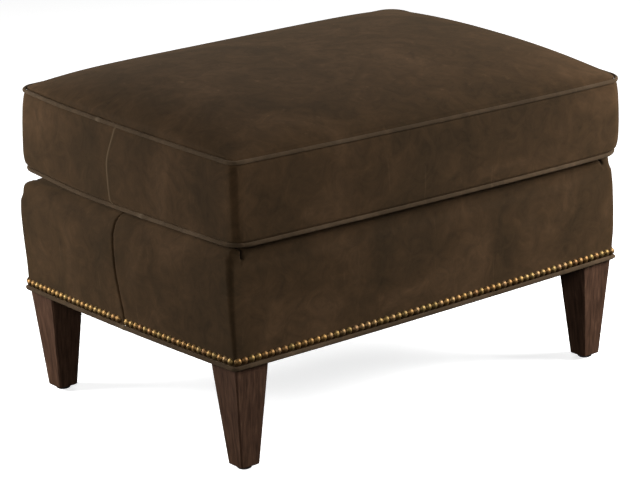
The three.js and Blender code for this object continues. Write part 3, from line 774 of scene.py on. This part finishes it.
def lean_of(points, lean):
    """Blends the four corners' lean at each point."""
    front_left, front_right, back_left, back_right = lean
    right = (points[:, 0] / cushion_half[0] + 1) / 2
    back = (points[:, 1] / cushion_half[1] + 1) / 2
    front_line = front_left * (1 - right) + front_right * right
    back_line = back_left * (1 - right) + back_right * right
    return front_line * (1 - back) + back_line * back


def settle_cushion(points):
    """Pulls in the corners of the loose cushion, and leans and shifts it as it lies."""
    from_corner = np.hypot(*(half - np.abs(points[:, axis]) for axis, half in enumerate(cushion_half)))
    height = np.clip(height_share(points), 0, 1)
    pull = of_corner(points, top_corner_pulls) * height
    pull += of_corner(points, bottom_corner_pulls) * (1 - height)
    pull *= bump(from_corner, corner_pull_reach)
    lift = of_corner(points, bottom_corner_lifts) * (1 - height)
    lift *= bump(from_corner, corner_lift_reach)
    points[:, :2] -= np.sign(points[:, :2]) * pull[:, None]
    low = lean_of(points, bottom_lean) * np.clip(level_share(points, cushion_half), 0, 1) ** 4
    points[:, 2] += lean_of(points, top_lean) * height + low * (1 - height) + lift
    points[:, :2] += cushion_shift


def of_corner(points, values):
    """The value of the corner that each point is nearest to."""
    front_left, front_right, back_left, back_right = values
    left = points[:, 0] < 0
    front = np.where(left, front_left, front_right)
    return np.where(points[:, 1] < 0, front, np.where(left, back_left, back_right))


def cushion_radius(points):
    """The corners are rounder, and tucked in, towards the bottom welt."""
    turn = np.clip(1 - height_share(points) / corner_tuck_height_share, 0, 1)
    tuck = corner_tuck * (1 - np.sqrt(1 - turn ** 2))
    return of_corner(points, cushion_corners) + tuck


def crown_of(points):
    """How far the stuffed top stands above its welt, which is more towards the front left."""
    across, along = points[:, 0] / cushion_half[0], points[:, 1] / cushion_half[1]
    dome = (1 - np.abs(across) ** crown_power_along) * (1 - np.abs(along) ** crown_power_across)
    crown = cushion_crown * np.clip(dome, 0, 1) ** crown_fullness
    return crown * (1 - crown_to_front_left * (across + along))


def shape_cushion(points):
    """From a square box to the stuffed cushion, with a groove for each welt to nest in."""
    level = level_share(points, cushion_half)
    inset = ring_inset(points, cushion_half)
    wall = inset < touching
    on_top = points[:, 2] > cushion_high_z - touching
    on_bottom = points[:, 2] < cushion_low_z + touching
    edge_distance = np.minimum(points[:, 2] - cushion_low_z, cushion_high_z - points[:, 2])
    groove = -welt_nest * (1 - ease(np.where(wall, edge_distance, inset), *groove_edges))
    swell = boxing_swell * np.interp(height_share(points), boxing_heights_share, boxing_swell_share)
    crown = crown_of(points) + crown_edge_lift * (1 - np.exp(-inset / crown_edge_reach))
    points[:, 2] += np.where(on_top, crown, 0)
    under = (cushion_low_z - cushion_rest_z) * ease(1 - level, *underside_edge_share)
    points[:, 2] -= np.where(on_bottom, under, 0)
    round_plan(points, cushion_half, cushion_radius(points))
    scale_plan(points, cushion_half, np.where(wall, swell + groove, groove))
    bow_plan(points, cushion_half, cushion_bow)
    settle_cushion(points)


def make_cushion_filling(cushion):
    """A foam core between two layers of fibre, just inside the leather."""
    form = twin(cushion, "cushion_foam")
    points = points_of(form)
    middle = (points.min(axis=0) + points.max(axis=0)) / 2
    half = points.max(axis=0) - middle
    reshape(form, middle + (points - middle) * (1 - filling_gap / half))
    under, over = twin(form, "under_fibre"), twin(form, "over_fibre")
    slice_off(under, filling_low_z, keep_above=False)
    slice_off(over, filling_high_z, keep_above=True)
    slice_off(form, filling_low_z, keep_above=True)
    slice_off(form, filling_high_z, keep_above=False)
    for piece, slot, node in ((form, "foam", "foam_core"),
                              (under, "fibre_padding", "bottom_fibre_layer"),
                              (over, "fibre_padding", "top_fibre_layer")):
        smooth(piece)
        place(piece, "seat_cushion", slot, node)


def hold_zip(points, square):
    """Keeps the back of the cushion flat along the zip, with a shallow slot for its tape."""
    from_zip = np.abs(square[:, 2] - zip_z)
    beyond = np.abs(square[:, 0]) - zip_slot[0] / 2
    at_back = cushion_half[1] - square[:, 1] < touching
    flat = at_back * (1 - ease(from_zip, *zip_flat_height)) * (1 - ease(beyond, 0, zip_flat_beyond))
    points[:, 1] += flat * (zip_face_y - points[:, 1])
    points[:, 2] += flat * (square[:, 2] - points[:, 2])
    points[:, 1] -= zip_slot_depth * at_back * (from_zip < zip_slot[1] / 2) * (beyond < 0)


def make_zip_tape():
    """A stitched tape with a thicker rib under the teeth, and the two rows of teeth."""
    half_x, half_z = (each / 2 - zip_clearance for each in zip_slot)
    tape = block("zip_fabric", (-half_x, zip_face_y - leather_thickness, zip_z - half_z),
                 (half_x, zip_face_y, zip_z + half_z))
    cut(tape, 0, evenly(-half_x, half_x, tape_step))
    stitches = [side * (tape_stitch_z + each) for side in (-1, 1)
                for each in (-tape_stitch_half, 0, tape_stitch_half)]
    ribs = [side * each for side in (-1, 1) for each in tape_rib_lines]
    cut(tape, 2, [zip_z + each for each in stitches + ribs])
    points = points_of(tape)
    face = points[:, 1] > zip_face_y - touching
    from_middle = np.abs(points[:, 2] - zip_z)
    points[:, 1] -= face * tape_stitch_depth * (np.abs(from_middle - tape_stitch_z) < merging)
    points[:, 1] += face * tape_rib_height * (from_middle < tape_rib_half)
    reshape(tape, points)
    place(tape, "seat_cushion", "black_nylon", "zip_tape")
    finish(tape, zip_cloth)
    count = math.floor(2 * half_x / tooth_pitch)
    rows = []
    for side in (-1, 1):
        start = (side * tooth_pitch / 2 - (count - 1) * tooth_pitch) / 2
        middle = (start, zip_face_y + tooth_size[1] / 2, zip_z + side * tooth_row_z)
        tooth = block_about("zip_teeth", middle, tooth_size)
        add_modifier(tooth, "BEVEL", width=metal_edge, segments=1)
        add_modifier(tooth, "ARRAY", count=count, use_relative_offset=False, use_constant_offset=True,
                     constant_offset_displace=(tooth_pitch, 0, 0))
        rows.append(tooth)
    place(joined(*rows), "seat_cushion", "black_nylon")


def turn_to_pivot(piece):
    """Lays a piece's axis along the pin that the pull swings on."""
    piece.location = (slider_x, pull_pivot_y, zip_z)
    piece.rotation_euler = (0, math.pi / 2, 0)
    settle(piece)
    return piece


def make_zip_slider():
    """The slider: a waisted plate with two ears that hold the pull's pin."""
    x, y, z = slider_size
    low = (slider_x - x / 2, slider_low_y, zip_z - z / 2)
    body = block("slider_body", low, (low[0] + x, low[1] + y, low[2] + z))
    cut(body, 0, evenly(low[0], low[0] + x, x / 6))
    points = points_of(body)
    along = (points[:, 0] - low[0]) / x
    flare = np.abs(2 * along - slider_waist_place_share) ** slider_waist_power
    width = slider_waist_share + (1 - slider_waist_share) * flare
    points[:, 2] = zip_z + (points[:, 2] - zip_z) * np.clip(width, 0, 1)
    reshape(body, points)
    parts = [body]
    for side in (-1, 1):
        middle = slider_x + side * slider_ear_x
        ear_low = (middle - slider_ear[0] / 2, slider_low_y + y / 2, zip_z - slider_ear[2] / 2)
        parts.append(block("slider_ear", ear_low, [a + b for a, b in zip(ear_low, slider_ear)]))
    for part in parts:
        add_modifier(part, "BEVEL", width=metal_edge, segments=2)
    select_none()
    bpy.ops.mesh.primitive_cylinder_add(vertices=16, radius=pull_pin_radius, depth=2 * slider_ear_x)
    pin = turn_to_pivot(bpy.context.object)
    joined(body, pin, *parts[1:])
    smooth(body, 30)
    place(body, "zip_slider", "antique_brass", "zip_slider")


def make_zip_pull():
    """The pull: a wire eye on the pin, a neck and a tapered tab with a long hole."""
    half = pull_thickness / 2
    top_z, low_z = zip_z - pull_neck_length, zip_z - pull_length
    tab = block("pull_tab", (slider_x - pull_width / 2, pull_pivot_y - half, low_z),
                (slider_x + pull_width / 2, pull_pivot_y + half, top_z))
    edit(tab)
    pick_faces(tab, lambda face: abs(face.normal.y) > 0.9)
    bpy.ops.mesh.inset(thickness=pull_rim)
    bpy.ops.mesh.bridge_edge_loops()
    done()
    points = points_of(tab)
    share = (points[:, 2] - low_z) / (top_z - low_z)
    points[:, 0] = slider_x + (points[:, 0] - slider_x) * (1 - pull_taper_share * share)
    reshape(tab, points)
    add_modifier(tab, "BEVEL", width=metal_edge, segments=2)
    neck = block("pull_neck", (slider_x - pull_neck_half, pull_pivot_y - half, top_z - pull_neck_lap),
                 (slider_x + pull_neck_half, pull_pivot_y + half, zip_z - pull_eye_radius))
    add_modifier(neck, "BEVEL", width=metal_edge, segments=1)
    select_none()
    bpy.ops.mesh.primitive_torus_add(major_radius=pull_eye_radius, minor_radius=pull_wire,
                                     major_segments=20, minor_segments=8)
    eye = turn_to_pivot(bpy.context.object)
    joined(tab, neck, eye)
    smooth(tab, 30)
    place(tab, "zip_pull", "antique_brass", "zip_pull")


def make_cloth(name, half, top_z, sag, corner, slot, node):
    """A sheet of cloth held along its edges, sagging a little between them."""
    cloth = plate(name, half, top_z)
    for axis in (0, 1):
        cut(cloth, axis, evenly(-half[axis], half[axis], cloth_step))
    points = points_of(cloth)
    across, along = points[:, 0] / half[0], points[:, 1] / half[1]
    held_share = np.clip((1 - across ** 2) * (1 - along ** 2), 0, 1) ** 2
    points[:, 2] -= held_share * (sag + uneven(points, cloth_unevenness_size, sag / 3, 21))
    round_plan(points, half, np.full(len(points), corner))
    reshape(cloth, points)
    add_modifier(cloth, "SOLIDIFY", thickness=cloth_thickness, offset=-1)
    smooth(cloth, 40)
    place(cloth, "base", slot, node)


def make_base_cloths():
    """The cloth on the deck, the cloth on the springs and the dust cover with its staples."""
    deck_half = [each - deck_cloth_set_in for each in base_half]
    make_cloth("deck_cloth_sheet", deck_half, deck_z - deck_cloth_drop, deck_cloth_sag,
               deck_cloth_corner, "deck_cloth", "deck_cover")
    make_cloth("spring_cloth_sheet", spring_cloth_half, spring_cloth_z + cloth_thickness, 0,
               spring_cloth_corner, "black_cloth", "spring_cloth")
    make_cloth("dust_cloth_sheet", dust_cloth_half, dust_cloth_z, dust_cloth_sag, dust_cloth_corner,
               "black_cloth", "dust_cover")
    under = dust_cloth_z - cloth_thickness - staple_size[2] / 2
    staples = []
    for axis in (0, 1):
        line = dust_cloth_half[1 - axis] - staple_set_in
        for side in (-1, 1):
            for along in evenly(-staple_reach[axis], staple_reach[axis], staple_pitch):
                middle = [0, 0, under]
                middle[axis], middle[1 - axis] = along, side * line
                size = staple_size if axis == 0 else (staple_size[1], staple_size[0], staple_size[2])
                staple = block_about("dust_cover_staples", middle, size)
                add_modifier(staple, "BEVEL", width=staple_size[2] / 4, segments=1)
                staples.append(staple)
    place(joined(*staples), "base", "zinc_steel")


def make_cushion():
    """The loose cushion: its leather, its filling and its two welts."""
    low, high = box_of(cushion_half, cushion_low_z, cushion_high_z)
    cushion = block("cushion_leather", low, high)
    slot_x, slot_z = ([side * (each / 2 + offset) for side in (-1, 1) for offset in slot_edge_offsets]
                      for each in zip_slot)
    seam = [cushion_seam_y + each for each in seam_offsets]
    extra = (slot_x, seam, [zip_z + each for each in slot_z])
    for axis in range(3):
        step = cushion_step if axis < 2 else wall_step
        near = [low[axis] + each for each in welt_offsets]
        near += [high[axis] - each for each in welt_offsets]
        places = evenly(low[axis] + grid_from_edge, high[axis] - grid_from_edge, step)
        cut(cushion, axis, sorted(near + places + extra[axis]))
    points = points_of(cushion)
    square = points.copy()
    seam_distance = points[:, 1] - cushion_seam_y
    wall = ring_inset(points, cushion_half) < touching
    shape_cushion(points)
    out = outwards_of(points, cushion_half, cushion_widest_corner)
    height = height_share(points)
    off_welts = 4 * np.clip(height * (1 - height), 0, 1)
    depth = uneven(points, *boxing_unevenness, 5) * off_welts
    depth += cushion_seam_height * bump(seam_distance, seam_reach)
    points[:, :2] += out * (wall * depth)[:, None]
    hold_zip(points, square)
    sweep = cushion_seam_sweep * ease(height, *seam_sweep_heights_share)
    points[:, 1] += wall * sweep * bump(seam_distance, seam_sweep_reach)
    mark(cushion, "rub", wall * bump(seam_distance, seam_reach))
    reshape(cushion, points)
    make_cushion_filling(cushion)
    add_modifier(cushion, "SUBSURF", levels=1, render_levels=1)
    smooth(cushion)
    nodes = ["cushion_top_panel", "cushion_bottom_panel", "cushion_front_boxing", "cushion_back_boxing"]
    place(cushion, "seat_cushion", "brown_leather", *nodes)
    for name, z in (("top", cushion_high_z), ("bottom", cushion_low_z)):
        welt = loop_piece(f"{name}_piping", cushion_half, z)
        points = points_of(welt)
        round_plan(points, cushion_half, cushion_radius(points))
        bow_plan(points, cushion_half, cushion_bow)
        settle_cushion(points)
        reshape(welt, points)
        welt = pipe(welt, cushion_welt_radius, cushion_welt_joint_y[name])
        place(welt, "seat_cushion", "leather_welt", f"cushion_{name}_welt")


def give(node, values):
    """Sets sockets of a node by name."""
    for name, value in values.items():
        node.inputs[name].default_value = value


def new_node(tree, kind, values=()):
    node = tree.nodes.new(f"ShaderNode{kind}")
    give(node, dict(values))
    return node


def new_material(name, roughness, metallic=0.0):
    material = bpy.data.materials.new(name)
    material.use_nodes = True
    tree = material.node_tree
    shader = tree.nodes["Principled BSDF"]
    give(shader, {"Roughness": roughness, "Metallic": metallic})
    return material, tree, shader, new_node(tree, "TexCoord").outputs["Object"]


def noise_node(tree, at, scale, detail=4.0, rough=0.55, distortion=0.0):
    node = new_node(tree, "TexNoise", {"Scale": scale, "Detail": detail, "Roughness": rough,
                                       "Distortion": distortion})
    tree.links.new(at, node.inputs["Vector"])
    return node.outputs["Fac"]


def long_grain(tree, at, share):
    """Stretches a pattern upwards: a share of 0.1 makes it ten times as tall."""
    node = new_node(tree, "Mapping", {"Scale": (1.0, 1.0, share)})
    tree.links.new(at, node.inputs["Vector"])
    return node.outputs["Vector"]


def kept_value(tree, name):
    """What a piece keeps at its verts under a name."""
    node = new_node(tree, "Attribute")
    node.attribute_name = name
    return node.outputs["Fac"]


def ramp_node(tree, value, stops):
    node = new_node(tree, "ValToRGB")
    elements = node.color_ramp.elements
    while len(elements) < len(stops):
        elements.new(0.5)
    for element, (position, colour) in zip(elements, stops):
        element.position = position
        element.color = (*colour, 1)
    tree.links.new(value, node.inputs["Fac"])
    return node.outputs["Color"]


def mix_node(tree, kind, factor, first, second):
    node = new_node(tree, "Mix")
    node.data_type = "RGBA"
    node.blend_type = kind
    sockets = {socket.identifier: socket for socket in node.inputs}
    if isinstance(factor, float):
        sockets["Factor_Float"].default_value = factor
    else:
        tree.links.new(factor, sockets["Factor_Float"])
    tree.links.new(first, sockets["A_Color"])
    if isinstance(second, tuple):
        sockets["B_Color"].default_value = (*second, 1)
    else:
        tree.links.new(second, sockets["B_Color"])
    return next(socket for socket in node.outputs if socket.identifier == "Result_Color")


def bump_node(tree, shader, height, strength, distance):
    node = new_node(tree, "Bump", {"Strength": strength, "Distance": distance})
    tree.links.new(height, node.inputs["Height"])
    tree.links.new(node.outputs["Normal"], shader.inputs["Normal"])


def nubuck(name, dark, middle, light, rubbed):
    """Brushed leather: wide cloudy patches, smears of nap, rubbed seams and a fine grain, with painted
    shade in the base's corner pleats.
    """
    material, tree, shader, at = new_material(name, 0.92)
    clouds = noise_node(tree, at, 7.0, 5.0, 0.6, 1.0)
    colour = ramp_node(tree, clouds, [(0.30, dark), (0.50, middle), (0.70, light)])
    nap = noise_node(tree, at, 30.0, 8.0, 0.72, 1.4)
    grey = ramp_node(tree, nap, [(0.30, (0.72, 0.75, 0.76)), (0.70, (1.28, 1.24, 1.20))])
    napped = mix_node(tree, "MULTIPLY", 1.0, colour, grey)
    scuffs = noise_node(tree, long_grain(tree, at, 0.12), 70.0, 3.0, 0.5, 0.5)
    scuffed = ramp_node(tree, scuffs, [(0.66, (1.0, 1.0, 1.0)), (0.74, (1.32, 1.32, 1.34))])
    napped = mix_node(tree, "MULTIPLY", 1.0, napped, scuffed)
    worn = mix_node(tree, "MIX", kept_value(tree, "rub"), napped, rubbed)
    # Painted shade: darkens the leather towards near black where it lies deep in a corner pleat
    pleat_shaded = mix_node(tree, "MIX", kept_value(tree, "shade"), worn, pleat_shade_colour)
    tree.links.new(pleat_shaded, shader.inputs["Base Color"])
    bump_node(tree, shader, noise_node(tree, at, 900.0, 4.0, 0.6), 0.25, 0.0004)
    give(shader, {"Diffuse Roughness": 0.8, "Sheen Weight": 0.02, "Sheen Tint": (0.8, 0.6, 0.4, 1),
                  "Specular IOR Level": 0.03})
    return material


def stained_wood():
    """Dark stained wood with its grain running up the leg."""
    material, tree, shader, at = new_material("stained_wood", 0.45)
    grain = noise_node(tree, long_grain(tree, at, 0.06), 260.0, 6.0, 0.65, 0.3)
    stops = [(0.3, (0.023, 0.011, 0.006)), (0.55, (0.058, 0.029, 0.017)), (0.75, (0.102, 0.054, 0.032))]
    tree.links.new(ramp_node(tree, grain, stops), shader.inputs["Base Color"])
    bump_node(tree, shader, grain, 0.2, 0.0003)
    give(shader, {"Specular IOR Level": 0.2})
    return material


def antique_brass():
    """Aged brass whose heads differ a little in tint."""
    material, tree, shader, at = new_material("antique_brass", 0.56, 1.0)
    stops = [(0.0, (0.18, 0.095, 0.04)), (0.35, (0.25, 0.145, 0.05)), (0.7, (0.20, 0.135, 0.05)),
             (1.0, (0.23, 0.135, 0.065))]
    colour = ramp_node(tree, kept_value(tree, "tint"), stops)
    age = noise_node(tree, at, 320.0, 4.0, 0.6)
    dulled = ramp_node(tree, age, [(0.35, (0.45,) * 3), (0.6, (1.0,) * 3)])
    tree.links.new(mix_node(tree, "MULTIPLY", 0.8, colour, dulled), shader.inputs["Base Color"])
    return material


def woven(name, colour, threads):
    """A plain weave: two sets of threads that cross."""
    material, tree, shader, at = new_material(name, 0.92)
    crossing = new_node(tree, "Math")
    crossing.operation = "MULTIPLY"
    for index, direction in enumerate(("X", "Y")):
        wave = new_node(tree, "TexWave", {"Scale": threads, "Distortion": 0.8})
        wave.bands_direction = direction
        tree.links.new(at, wave.inputs["Vector"])
        tree.links.new(wave.outputs["Fac"], crossing.inputs[index])
    low = tuple(0.55 * each for each in colour)
    thread = ramp_node(tree, crossing.outputs[0], [(0.0, low), (0.6, colour)])
    tree.links.new(thread, shader.inputs["Base Color"])
    bump_node(tree, shader, crossing.outputs[0], 0.4, 0.0005)
    give(shader, {"Specular IOR Level": 0.08})
    return material


def plain(name, colour, roughness, metallic=0.0, scale=200.0):
    """A quiet finish with a little unevenness in its tone and surface."""
    material, tree, shader, at = new_material(name, roughness, metallic)
    speckle = noise_node(tree, at, scale, 5.0, 0.6)
    low = tuple(0.8 * each for each in colour)
    tree.links.new(ramp_node(tree, speckle, [(0.3, low), (0.7, colour)]), shader.inputs["Base Color"])
    bump_node(tree, shader, speckle, 0.15, 0.0003)
    return material


zip_cloth = woven("zip_cloth", (0.016, 0.0145, 0.0135), 380.0)
finish_of_slot = {
    "brown_leather": nubuck("brown_nubuck", (0.034, 0.0213, 0.0107), (0.048, 0.0281, 0.0137),
                            (0.066, 0.0383, 0.0194), (0.100, 0.068, 0.038)),
    "leather_welt": nubuck("welt_nubuck", (0.052, 0.0345, 0.0205), (0.068, 0.0455, 0.027),
                           (0.090, 0.061, 0.038), (0.12, 0.088, 0.056)),
    "antique_brass": antique_brass(),
    "leg_wood": stained_wood(),
    "frame_wood": plain("plywood", (0.48, 0.33, 0.17), 0.75, scale=90.0),
    "zinc_steel": plain("zinc_steel", (0.55, 0.56, 0.57), 0.35, 1.0),
    "black_nylon": plain("black_nylon", (0.018, 0.018, 0.020), 0.5),
    "black_cloth": plain("black_cloth", (0.014, 0.014, 0.016), 0.95, scale=500.0),
    "deck_cloth": woven("deck_cloth", (0.075, 0.055, 0.038), 300.0),
    "foam": plain("foam", (0.78, 0.72, 0.52), 0.9, scale=400.0),
    "fibre_padding": plain("fibre", (0.85, 0.84, 0.80), 0.95, scale=300.0),
}


def finish_nodes():
    """Gives each CAD node the finish of its slot."""
    for part in frame["record"]["subparts"]:
        finish(bpy.data.objects[part["node"]], finish_of_slot[part["material_slot"]])


def make_floor():
    """A pale floor that glows, its glow dimmer near the stool as a painted shade round it and paler
    away from it.
    """
    select_none()
    bpy.ops.mesh.primitive_plane_add(size=floor_size, location=(0, 0, 0))
    floor = bpy.context.object
    floor.name = "floor"
    material, tree, shader, at = new_material("pale_floor", 0.9)
    give(shader, {"Base Color": (0.76, 0.76, 0.76, 1), "Emission Color": (1, 1, 1, 1)})
    distance = new_node(tree, "VectorMath")
    distance.operation = "LENGTH"
    tree.links.new(at, distance.inputs[0])
    # Painted shade: the floor's glow is weaker near the stool and stronger further off
    paling = new_node(tree, "MapRange", {"From Min": floor_paling_from, "From Max": floor_paling_to,
                                         "To Min": 0.70, "To Max": 0.85})
    tree.links.new(distance.outputs["Value"], paling.inputs["Value"])
    tree.links.new(paling.outputs["Result"], shader.inputs["Emission Strength"])
    floor.visible_diffuse = False
    floor.visible_glossy = False
    floor.data.materials.append(material)


def make_camera():
    ahead = Vector((math.sin(camera_yaw) * math.cos(camera_pitch),
                    math.cos(camera_yaw) * math.cos(camera_pitch), -math.sin(camera_pitch)))
    level_right = Vector((math.cos(camera_yaw), -math.sin(camera_yaw), 0))
    level_up = level_right.cross(ahead)
    right = math.cos(camera_roll) * level_right + math.sin(camera_roll) * level_up
    up = -math.sin(camera_roll) * level_right + math.cos(camera_roll) * level_up
    data = bpy.data.cameras.new("camera")
    data.sensor_width = sensor_mm
    data.lens = camera_lens_px / image_width_px * sensor_mm
    camera = bpy.data.objects.new("camera", data)
    turn = Matrix((right, up, -ahead)).transposed().to_4x4()
    camera.matrix_world = Matrix.Translation(camera_place) @ turn
    bpy.context.scene.collection.objects.link(camera)
    bpy.context.scene.camera = camera


def soft_light(name, place_at, aim, size, power):
    data = bpy.data.lights.new(name, "AREA")
    data.shape = "DISK"
    data.size = size
    data.energy = power
    light = bpy.data.objects.new(name, data)
    light.location = place_at
    light.rotation_euler = (Vector(aim) - Vector(place_at)).to_track_quat("-Z", "Y").to_euler()
    bpy.context.scene.collection.objects.link(light)


def make_lights():
    """A dim sky that is darker below the horizon, and the soft lights."""
    world = bpy.data.worlds.new("studio")
    world.use_nodes = True
    tree = world.node_tree
    sky = tree.nodes["Background"]
    give(sky, {"Strength": 0.06})
    upwards = new_node(tree, "SeparateXYZ")
    tree.links.new(new_node(tree, "TexCoord").outputs["Generated"], upwards.inputs["Vector"])
    stops = [(0.0, (0.4,) * 3), (0.06, (1.0,) * 3)]
    tree.links.new(ramp_node(tree, upwards.outputs["Z"], stops), sky.inputs["Color"])
    bpy.context.scene.world = world
    bpy.context.scene.view_settings.view_transform = "Standard"
    for name, (place_at, aim, size, power) in lights.items():
        soft_light(name, place_at, aim, size, power)


make_camera()
make_floor()
make_lights()
finish_nodes()
make_base_stuffing()
make_base_covers()
make_base_cloths()
make_base_welt()
make_nails(True)
make_nails(False)
make_cushion()
make_zip_tape()
make_zip_slider()
make_zip_pull()
